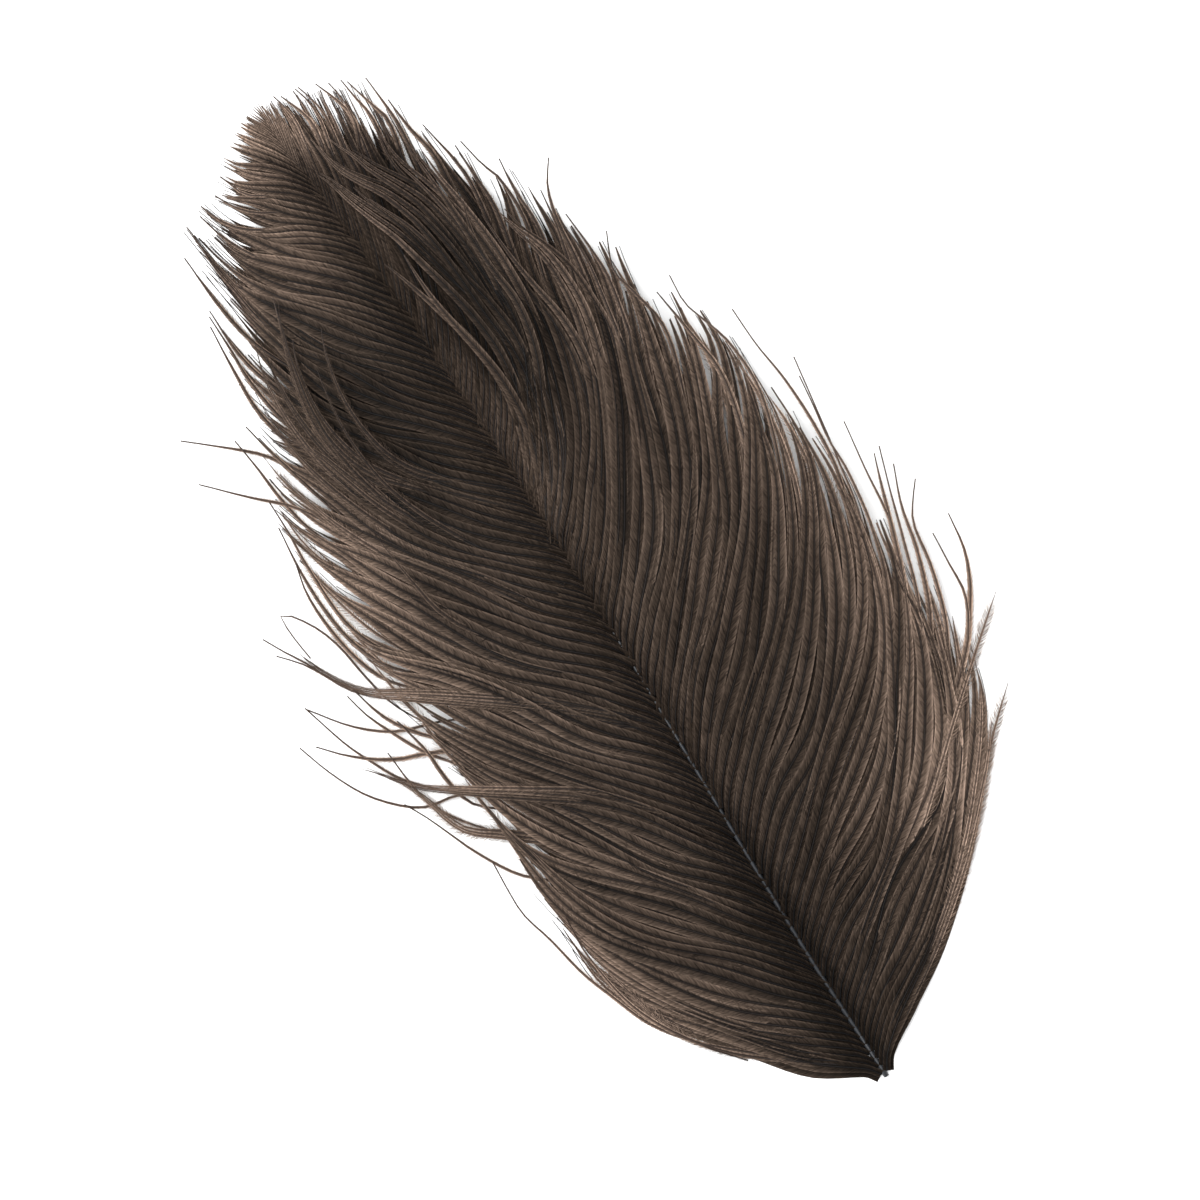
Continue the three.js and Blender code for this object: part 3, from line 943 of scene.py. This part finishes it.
LEFT_STRAYS = [
    ([-8, 7, -15, 13.5, -20, 18, -25, 23, -30, 30, -33, 38, -35, 44, -36.5, 52, -38, 58, -38, 63,
      -37.5, 69], 0.45, 14),
    ([-6, 6, -14, 12, -21, 18, -27, 26, -31, 35, -32.5, 46, -32, 54], 0.6, 6),
    ([-22, 50, -30, 60, -35, 65, -39, 72, -41, 77, -43, 82, -45, 86], 0.4, 10),
    ([-25, 76, -31, 80, -37, 82.5, -42, 83.5, -46, 86.5, -50, 91.5, -53, 98, -55, 104.4], 0.35, 22),
    ([-24, 84, -30, 88, -37, 91.5, -41, 93, -45, 95.5, -49, 99, -52.5, 103], 0.6, 7),
    ([-26, 92, -32, 95, -38, 97, -42, 99.5, -46, 103.5, -50.4, 109.6], 0.4, 8),
    ([-34, 81, -38, 84.5, -43, 90, -46, 96, -48, 101, -50.4, 109.8], 0.35, 12),
    ([-33, 72, -38, 78, -41, 83, -42, 88, -42.5, 95.3], 0.45, 5),
    ([-30, 82, -34, 88, -37, 92, -40, 98, -42, 103, -43, 107.5], 0.5, 5),
    ([-28, 88, -34, 93, -38, 98, -40, 102, -41.5, 108], 0.6, 3),
    ([-31, 76, -35, 80, -36.3, 86, -36.5, 92, -38, 99], 0.6, 2),
    ([-38, 104, -42, 108, -44.5, 113, -46.5, 116.5, -49.6, 120.2], 0.3, 5),
    ([-40, 106, -44, 112, -46, 116.5, -48, 120, -50, 124], 0.3, 6),
    ([-34, 96, -37, 102, -38.5, 109, -39.5, 116, -41.5, 121.5, -44.9, 126, -45.2, 121.5,
      -44.7, 116.6], 0.3, 16),
    ([-30, 100, -35.5, 106, -38.2, 113, -39.2, 121, -39, 127, -37.8, 132], 0.6, 4),
    ([-28, 102, -34, 108, -37, 115, -38, 122, -37.9, 130, -36.9, 139], 0.6, 4),
    ([-26, 103, -32, 109, -36, 118, -36.4, 130, -35.9, 137, -35.8, 143.6], 0.6, 4),
    ([-24, 128, -29, 135, -33, 141, -38, 146, -44.5, 153], 0.45, 8),
    ([-24, 138, -29.5, 147, -32, 151, -36, 155, -43, 161.2], 0.45, 8),
    ([-29, 128, -32.5, 136, -33.8, 143, -34.3, 150, -35, 156], 0.5, 6),
    ([-26, 132, -28.5, 142, -30, 148, -31, 152, -32, 157], 0.6, 4),
    ([-23, 140, -27, 150, -28.7, 158, -28.4, 166, -27.6, 175.2], 0.6, 6),
    ([-21, 142, -25.5, 153, -27, 163, -26.8, 170, -26.8, 176.8], 0.6, 4),
    ([-20, 150, -24, 160, -26, 168, -26.2, 177.6], 0.6, 4),
    ([-18, 158, -22.5, 168, -24.2, 177, -24.8, 187.8], 0.6, 6),
    ([-16, 162, -19.5, 171, -20.5, 178, -21.3, 184, -21.2, 188, -21.5, 192.2], 0.4, 8),
    ([-8, 174, -14, 181, -17, 187, -18.5, 192.5], 0.5, 4),
    ([-4, 180.5, -8, 182.8, -12, 185.2, -15, 188.3, -16.6, 191.5, -17.4, 193.9], 0.6, 2),
    ([-2, 183, -7, 185.5, -10, 187.5, -12.4, 190.3, -14.3, 194.1], 0.5, 4),
    ([-1, 185, -6, 188.4, -9.6, 191, -10.6, 193.5, -11.7, 196.4], 0.5, 3),
]
LEFT_FILLING = [
    [-19, 15, -24.5, 22, -28.3, 30, -30.3, 38],
    [-24, 24, -28.3, 32, -30.9, 41, -31.6, 50],
    [-26, 34, -30, 43, -31.9, 52, -32.3, 61],
    [-27, 46, -30.9, 55, -32.4, 64, -33, 72],
    [-27, 58, -31, 67, -33, 77, -33.4, 84],
    [-27, 70, -31.4, 80, -33.6, 90, -34.3, 98],
    [-28, 82, -32.6, 92, -35, 102, -36, 110],
    [-28, 94, -33, 104, -35.6, 114, -36.6, 123],
    [-28, 105, -33, 115, -36, 126, -36.7, 134],
    [-27, 114, -31.6, 124, -34.6, 134, -35, 142],
    [-24, 124, -28.3, 134, -31.4, 144, -32.3, 151],
]
left_loose = loose_locks(LEFT_LOOSE_LOCKS, 0.6, width=0.45, barbules=3.4, tone=0.5)
left_loose += stray_barbs(LEFT_STRAYS, 0.7, barbules=2.6, stem_tip=0.16, tone=0.8)
left_loose += filling_barbs(LEFT_FILLING, tone=1.2)
grow("left_loose_barbs", left_loose, 61, spacing=0.27)


# ---------------- right vane
# The wider vane. Its barbs leave the shaft at about 50 degrees and curve round until they run
# along the feather at its edge.
RIGHT_GUIDES = [
    [0, 2, 5, 6, 12, 10.7, 22, 17, 32, 24, 40, 31, 46, 38, 50, 46, 52, 55],
    [0, 8, 8, 14, 20, 21, 32, 30, 41, 40, 47, 52, 50.5, 64, 53, 76],
    [0, 16, 10, 23, 22, 31, 34, 41, 43, 53, 48.5, 65, 51.5, 75, 53, 83],
    [0, 25, 10, 32.5, 22, 40, 34, 50, 42.5, 61, 47.8, 73, 50, 84, 50.6, 93],
    [0.5, 45, 10, 54, 22, 63, 34, 75, 43.5, 89, 48.3, 101, 49.3, 113],
    [1, 65, 10, 75, 20, 84, 32, 97, 40, 112, 44, 126, 45, 138.5],
    [1.7, 85, 10, 93, 20, 104, 29, 120, 34, 138, 36, 157],
    [2.5, 105, 10, 112, 18, 124, 25, 140, 28, 158, 27.5, 178],
    [3.2, 120, 9, 127, 15, 138, 19, 152, 20.5, 170, 20, 191.5],
    [3.2, 135, 8, 141, 12, 151, 14, 165, 14.5, 180, 15.7, 199],
    [3, 150, 7, 157, 10, 168, 11, 182, 11.3, 201],
    [2.6, 165, 5.5, 172, 7.5, 182, 8, 202],
    [2, 180, 3.8, 186, 5, 194, 5, 202.5],
    [1, 190, 2, 194, 3, 202],
]
RIGHT_LOCKS = [
    (10, 54, 72, 0.7, 0.0),
    (30, 55, 95, 0.7, 0.0),
    (50, 50, 112, 0.7, 0.0),
    (60, 49, 117, 0.55, 0.3),
    (66, 48.2, 119, 0.6, 0.3),
    (72, 46.8, 126, 0.6, 0.3),
    (78, 44.9, 138, 0.55, 0.3),
    (84, 41.3, 137, 0.6, 0.3),
    (89, 39, 150, 0.5, 0.3),
    (94, 35.8, 157.5, 0.55, 0.8),
    (99, 34.3, 163, 0.5, 0.8),
    (104, 32, 172.5, 0.5, 0.8),
    (108, 30, 171, 0.55, 0.8),
    (113, 27, 179, 0.5, 0.8),
    (118, 23.3, 184.5, 0.5, 0.8),
    (122, 22.7, 180, 0.5, 0.8),
    (126, 20.6, 191.3, 0.5, 0.8),
    (131, 19.3, 197, 0.45, 0.8),
    (137, 18.3, 191, 0.5, 0.8),
    (143, 15.5, 199, 0.35, 0.92),
    (149, 13.5, 199.5, 0.35, 0.92),
    (155, 12.2, 200, 0.35, 0.92),
    (160, 11.3, 200.7, 0.35, 0.92),
    (166, 9.3, 201.5, 0.35, 0.92),
    (171, 7.7, 202, 0.35, 0.92),
    (177, 5.3, 202.5, 0.35, 0.92),
    (183, 4, 203, 0.4, 0.8),
    (189, 2.6, 203, 0.4, 0.8),
    (195, 0.6, 203.5, 0.4, 0.8),
]
RIGHT_SPACING = ([0, 8, 24, 60, 100, 140, 200], [0.6, 0.85, 1.35, 1.35, 1.0, 0.85, 0.65])
RIGHT_CLING = ([0, 70, 105], [0.3, 0.3, 0.6])
right_starts, right_barbs = vane(1, RIGHT_GUIDES, RIGHT_LOCKS, RIGHT_SPACING, RIGHT_CLING, (1.5, 198.5))
grow_zones(
    "right_vane",
    right_starts,
    right_barbs,
    [("lower", 0, 34), ("middle", 34, 68), ("upper_middle", 68, 108), ("upper", 108, 210)],
    41,
)

grow("right_vane_under", under_layer(right_barbs), 49, NO_BARBULES)


# ---------------- right loose barbs
# Barbs of the right vane that have come loose. Near the tip they are broad and lie over the vane
# in long bent locks. Further down they stand away from its edge.
RIGHT_LOOSE_LOCKS = [
    ([2, 112, 7, 122, 9.5, 130, 10.2, 138, 9.8, 144, 8.9, 150, 8.1, 156, 7.8, 162, 8, 169.5], 1),
    ([3, 118, 8, 128, 10, 138, 9.2, 148, 7.6, 155, 5.8, 162, 4.2, 167, 2.4, 171.5], 1),
    ([2, 110, 9, 121, 13, 132, 14.7, 142, 14.2, 150, 12.8, 157, 11.3, 163, 9.5, 170, 7.5, 175, 5.6, 180,
      4, 185, 1.9, 189.4], 3),
    ([5, 118, 12, 130, 15, 142, 15, 150, 13.8, 157, 12.3, 164, 11, 170, 9.5, 174, 8, 178, 6.7, 182.5], 2),
    ([5, 114, 12, 126, 16, 140, 16, 152, 15.4, 163, 14.3, 170, 13, 174, 11.3, 178, 9, 181.5, 7, 185,
      6, 188.5, 5.3, 192.7], 3),
    ([8, 122, 15, 138, 17.6, 152, 17.9, 164, 16.6, 172, 14.8, 176.5, 13, 180, 11.5, 183, 10.5, 186, 9, 189,
      7.5, 192.6], 3),
    ([10, 124, 17, 140, 19, 154, 18.8, 165, 18, 171, 17, 176, 15.8, 181, 15.7, 185, 16.1, 189.4], 3),
    ([12, 128, 18, 142, 20, 156, 20, 168, 19.6, 176, 19.1, 182, 19, 186.2], 2),
    ([13, 126, 20, 142, 22, 156, 21.6, 168, 20.8, 175, 20.5, 183.8], 1),
    ([4, 117, 9, 126, 14, 134, 16.8, 139.5, 18.5, 145, 19.2, 150, 18.9, 155, 19, 160, 20, 165, 21.5, 169,
      22.8, 173], 2),
    ([12, 112, 20, 124, 23.6, 134, 24.3, 142, 23.5, 149, 23, 155, 23, 161, 23.2, 165.2], 2),
    ([18, 112, 26, 124, 30.5, 134, 31.3, 142, 31.3, 149, 29.8, 155, 27.8, 160, 27, 165], 1),
    ([16, 114, 24, 128, 28, 140, 28.9, 149, 28.3, 155, 26.8, 160, 25.8, 164.6], 2),
]
RIGHT_FILLING = [
    [36, 73, 42.6, 84, 46.6, 94, 48, 104, 48, 111],
    [38, 71, 45, 82, 48.2, 91, 49.4, 99],
    [34, 78, 41, 90, 45, 101, 46.6, 112, 46.6, 120],
    [39, 60, 45, 70, 48.3, 80, 50.2, 89],
    [30, 92, 36.5, 103, 41, 114, 43, 124, 43.2, 131],
    [32, 95, 38, 106, 42.4, 117, 43.8, 127],
    [25, 110, 32, 124, 37, 137, 38, 146],
    [22, 122, 28, 138, 32, 150, 33, 158],
    [38, 36, 45, 44, 50, 52, 54, 61],
    [40, 42, 46, 50, 50.5, 59, 53.5, 69],
]
RIGHT_STRAYS = [
    ([34, 40, 44, 47, 53, 55, 57, 60, 60, 64.5, 62.3, 70, 63.3, 76.6], 0.7, 6),
    ([40, 45, 50, 52, 55, 57.5, 58, 63, 58.6, 69, 59.1, 75.2], 0.4, 9),
    ([38, 43, 46, 51, 52, 60, 55.5, 70, 57, 78, 59, 81.5, 61.8, 84.9], 0.5, 5),
    ([36, 44, 44, 53, 51, 64, 55, 74, 57, 82, 60, 89.2], 0.6, 5),
    ([34, 44, 43, 54, 50, 66, 54, 77, 57, 86, 59.6, 93.2], 0.4, 8),
    ([32, 46, 42, 57, 49, 69, 53.5, 80, 56, 87, 58.1, 92.6], 0.8, 2),
    ([40, 52, 47, 63, 51.5, 74, 54, 82, 55.2, 91, 56.7, 100.2], 0.35, 9),
    ([36, 55, 45, 68, 50, 80, 52.3, 92, 52.6, 99, 53.6, 105, 54.5, 111.2], 0.35, 10),
    ([34, 58, 43, 71, 49.5, 84, 52, 95, 53.5, 103, 55.6, 114.6], 0.25, 12),
    ([38, 68, 46, 80, 50.5, 92, 51.9, 102, 52, 112, 51.2, 120, 51.1, 127.6], 0.4, 9),
    ([34, 84, 42, 98, 47, 112, 47.4, 122, 46, 128, 44.6, 133, 45.1, 138.6], 0.4, 8),
    ([32, 90, 39, 104, 43, 118, 42.5, 128, 41.5, 137.2], 0.7, 3),
    ([26, 100, 34, 116, 39, 130, 38.2, 139, 37.1, 144, 38.3, 147.5, 40.1, 151.2], 0.5, 5),
    ([24, 110, 31, 126, 35.4, 142, 36, 150, 35.7, 157.6], 0.6, 4),
    ([24, 112, 30, 128, 33.6, 144, 34.5, 151, 34.2, 156.6], 0.5, 3),
    ([23, 116, 29, 134, 32.5, 148, 33.8, 157, 35.5, 163, 38.6, 167.6], 0.7, 4),
    ([22, 120, 28, 138, 32, 152, 33.5, 158, 34.3, 163.6], 0.6, 3),
    ([22, 128, 27, 144, 30.3, 158, 30.5, 166, 31.2, 172.2], 0.6, 4),
    ([20, 130, 25, 146, 29, 160, 29.4, 169, 28.2, 173, 27.2, 178.5], 0.5, 5),
    ([18, 132, 22, 148, 25.7, 164, 26, 172, 26, 178.4], 0.7, 4),
    ([18, 140, 22, 156, 24.6, 170, 24.6, 176, 24, 180, 23.2, 184.6], 0.6, 4),
    ([16, 150, 20, 165, 22, 178, 21, 185, 20.5, 191.6], 0.8, 2),
    ([14, 160, 18, 176, 19.6, 186, 19.6, 192, 19.3, 197], 0.6, 5),
    ([12, 165, 16, 178, 18.5, 188, 17.5, 193, 16.2, 198.2], 0.6, 4),
    ([11, 165, 14.5, 180, 16.4, 190, 15.9, 195, 15.4, 199.1], 0.6, 5),
    ([9, 170, 12, 184, 13.7, 193, 13.8, 196.5, 13.3, 199.8], 0.4, 6),
    ([8, 175, 11.5, 186, 13.6, 192, 12.9, 196.5, 11.3, 200.9], 0.6, 5),
    ([7, 176, 9.5, 188, 10.6, 194, 10.9, 197, 11.4, 199.6], 0.4, 5),
    ([6, 178, 8.5, 188, 9.7, 195, 9.4, 198.5, 8.4, 202.1], 0.4, 5),
    ([5, 180, 7.5, 190, 8.6, 195, 8.6, 199, 7.8, 202.1], 0.4, 5),
    ([4.5, 182, 6.3, 190, 7.2, 195, 7.5, 199, 7.3, 202], 0.4, 5),
    ([4, 182, 6, 189, 7, 194.5, 6.6, 198, 5, 202.4], 0.6, 4),
    ([3, 186, 4.2, 193, 4.9, 198, 3.9, 203.1], 0.4, 4),
]
right_loose = loose_locks(RIGHT_LOOSE_LOCKS, 2.3, width=0.85, barbules=1.5, tone=0.6)
right_loose += stray_barbs(RIGHT_STRAYS, 0.9, barbules=2.2, stem_tip=0.15, tone=0.6)
right_loose += filling_barbs(RIGHT_FILLING, tone=1.5)
grow("right_loose_barbs", right_loose, 71, spacing=0.27)


# ---------------- right brushes
# The lowest barbs of the right vane are its softest. The barbules of a few are so long that the
# barb ends in a pale, broad brush.
RIGHT_BRUSHES = [
    [9, 6.8, 20, 13.8, 30, 21.3, 38, 28.5, 45, 36, 49.5, 41.5],
    [11, 9, 24, 18, 34, 26.5, 42, 35, 48, 42.5, 52, 49],
    [14, 10.5, 24, 17.5, 33, 24.5, 41, 32, 48.5, 39.5, 56, 46],
    [22, 27, 34, 37, 44, 45.5, 54, 53.5, 63, 60.6],
]
right_brushes = [
    barb(
        through(line), lift=0.5, width=0.35, barbules=5, bare=0, taper=0.9, stem=0.09, tone=2.5, low=0.8,
        rising=(0.05, 0.4),
    )
    for line in RIGHT_BRUSHES
]
grow("right_brushes", right_brushes, 75, spacing=0.2)


# ---------------- tip
# The shaft ends in a tuft of its finest and palest barbs, which hardly leave its direction.
TUFT_BARBS = 17
TUFT_ROOTS = (199.5, 190.0)  # of its middle and of its outermost barbs
TUFT_HALF_WIDTH = 3.8
TUFT_TOP, TUFT_SHOULDER = 203.7, 200.6

tuft = []
for spot in np.linspace(-1, 1, TUFT_BARBS):
    root_y = np.interp(abs(spot), [0, 1], TUFT_ROOTS)
    tip_y = np.interp(spot**2, [0, 1], [TUFT_TOP, TUFT_SHOULDER]) + random.uniform(-0.8, 0.2)
    root = (float(shaft_x(root_y)), root_y)
    bend = (root[0] + 0.32 * TUFT_HALF_WIDTH * spot, (root_y * 0.55 + tip_y * 0.45))
    line = through([root, bend, (TUFT_HALF_WIDTH * spot, tip_y)], 30)
    tuft.append(barb(line, lift=0.5, width=0.4, taper=0.2, bare=1, stem=0.08, stem_tip=0.05, low=1.2))
grow("tip_tuft", tuft, 81, spacing=0.25)


# ---------------- the whole feather
# The shaft and the barbs together stand in place of the feather's one solid. What the barbs were
# grown from is no part of it.
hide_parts("feather")
for template in (barbule_left, barbule_right, web_section):
    bpy.data.objects.remove(template)
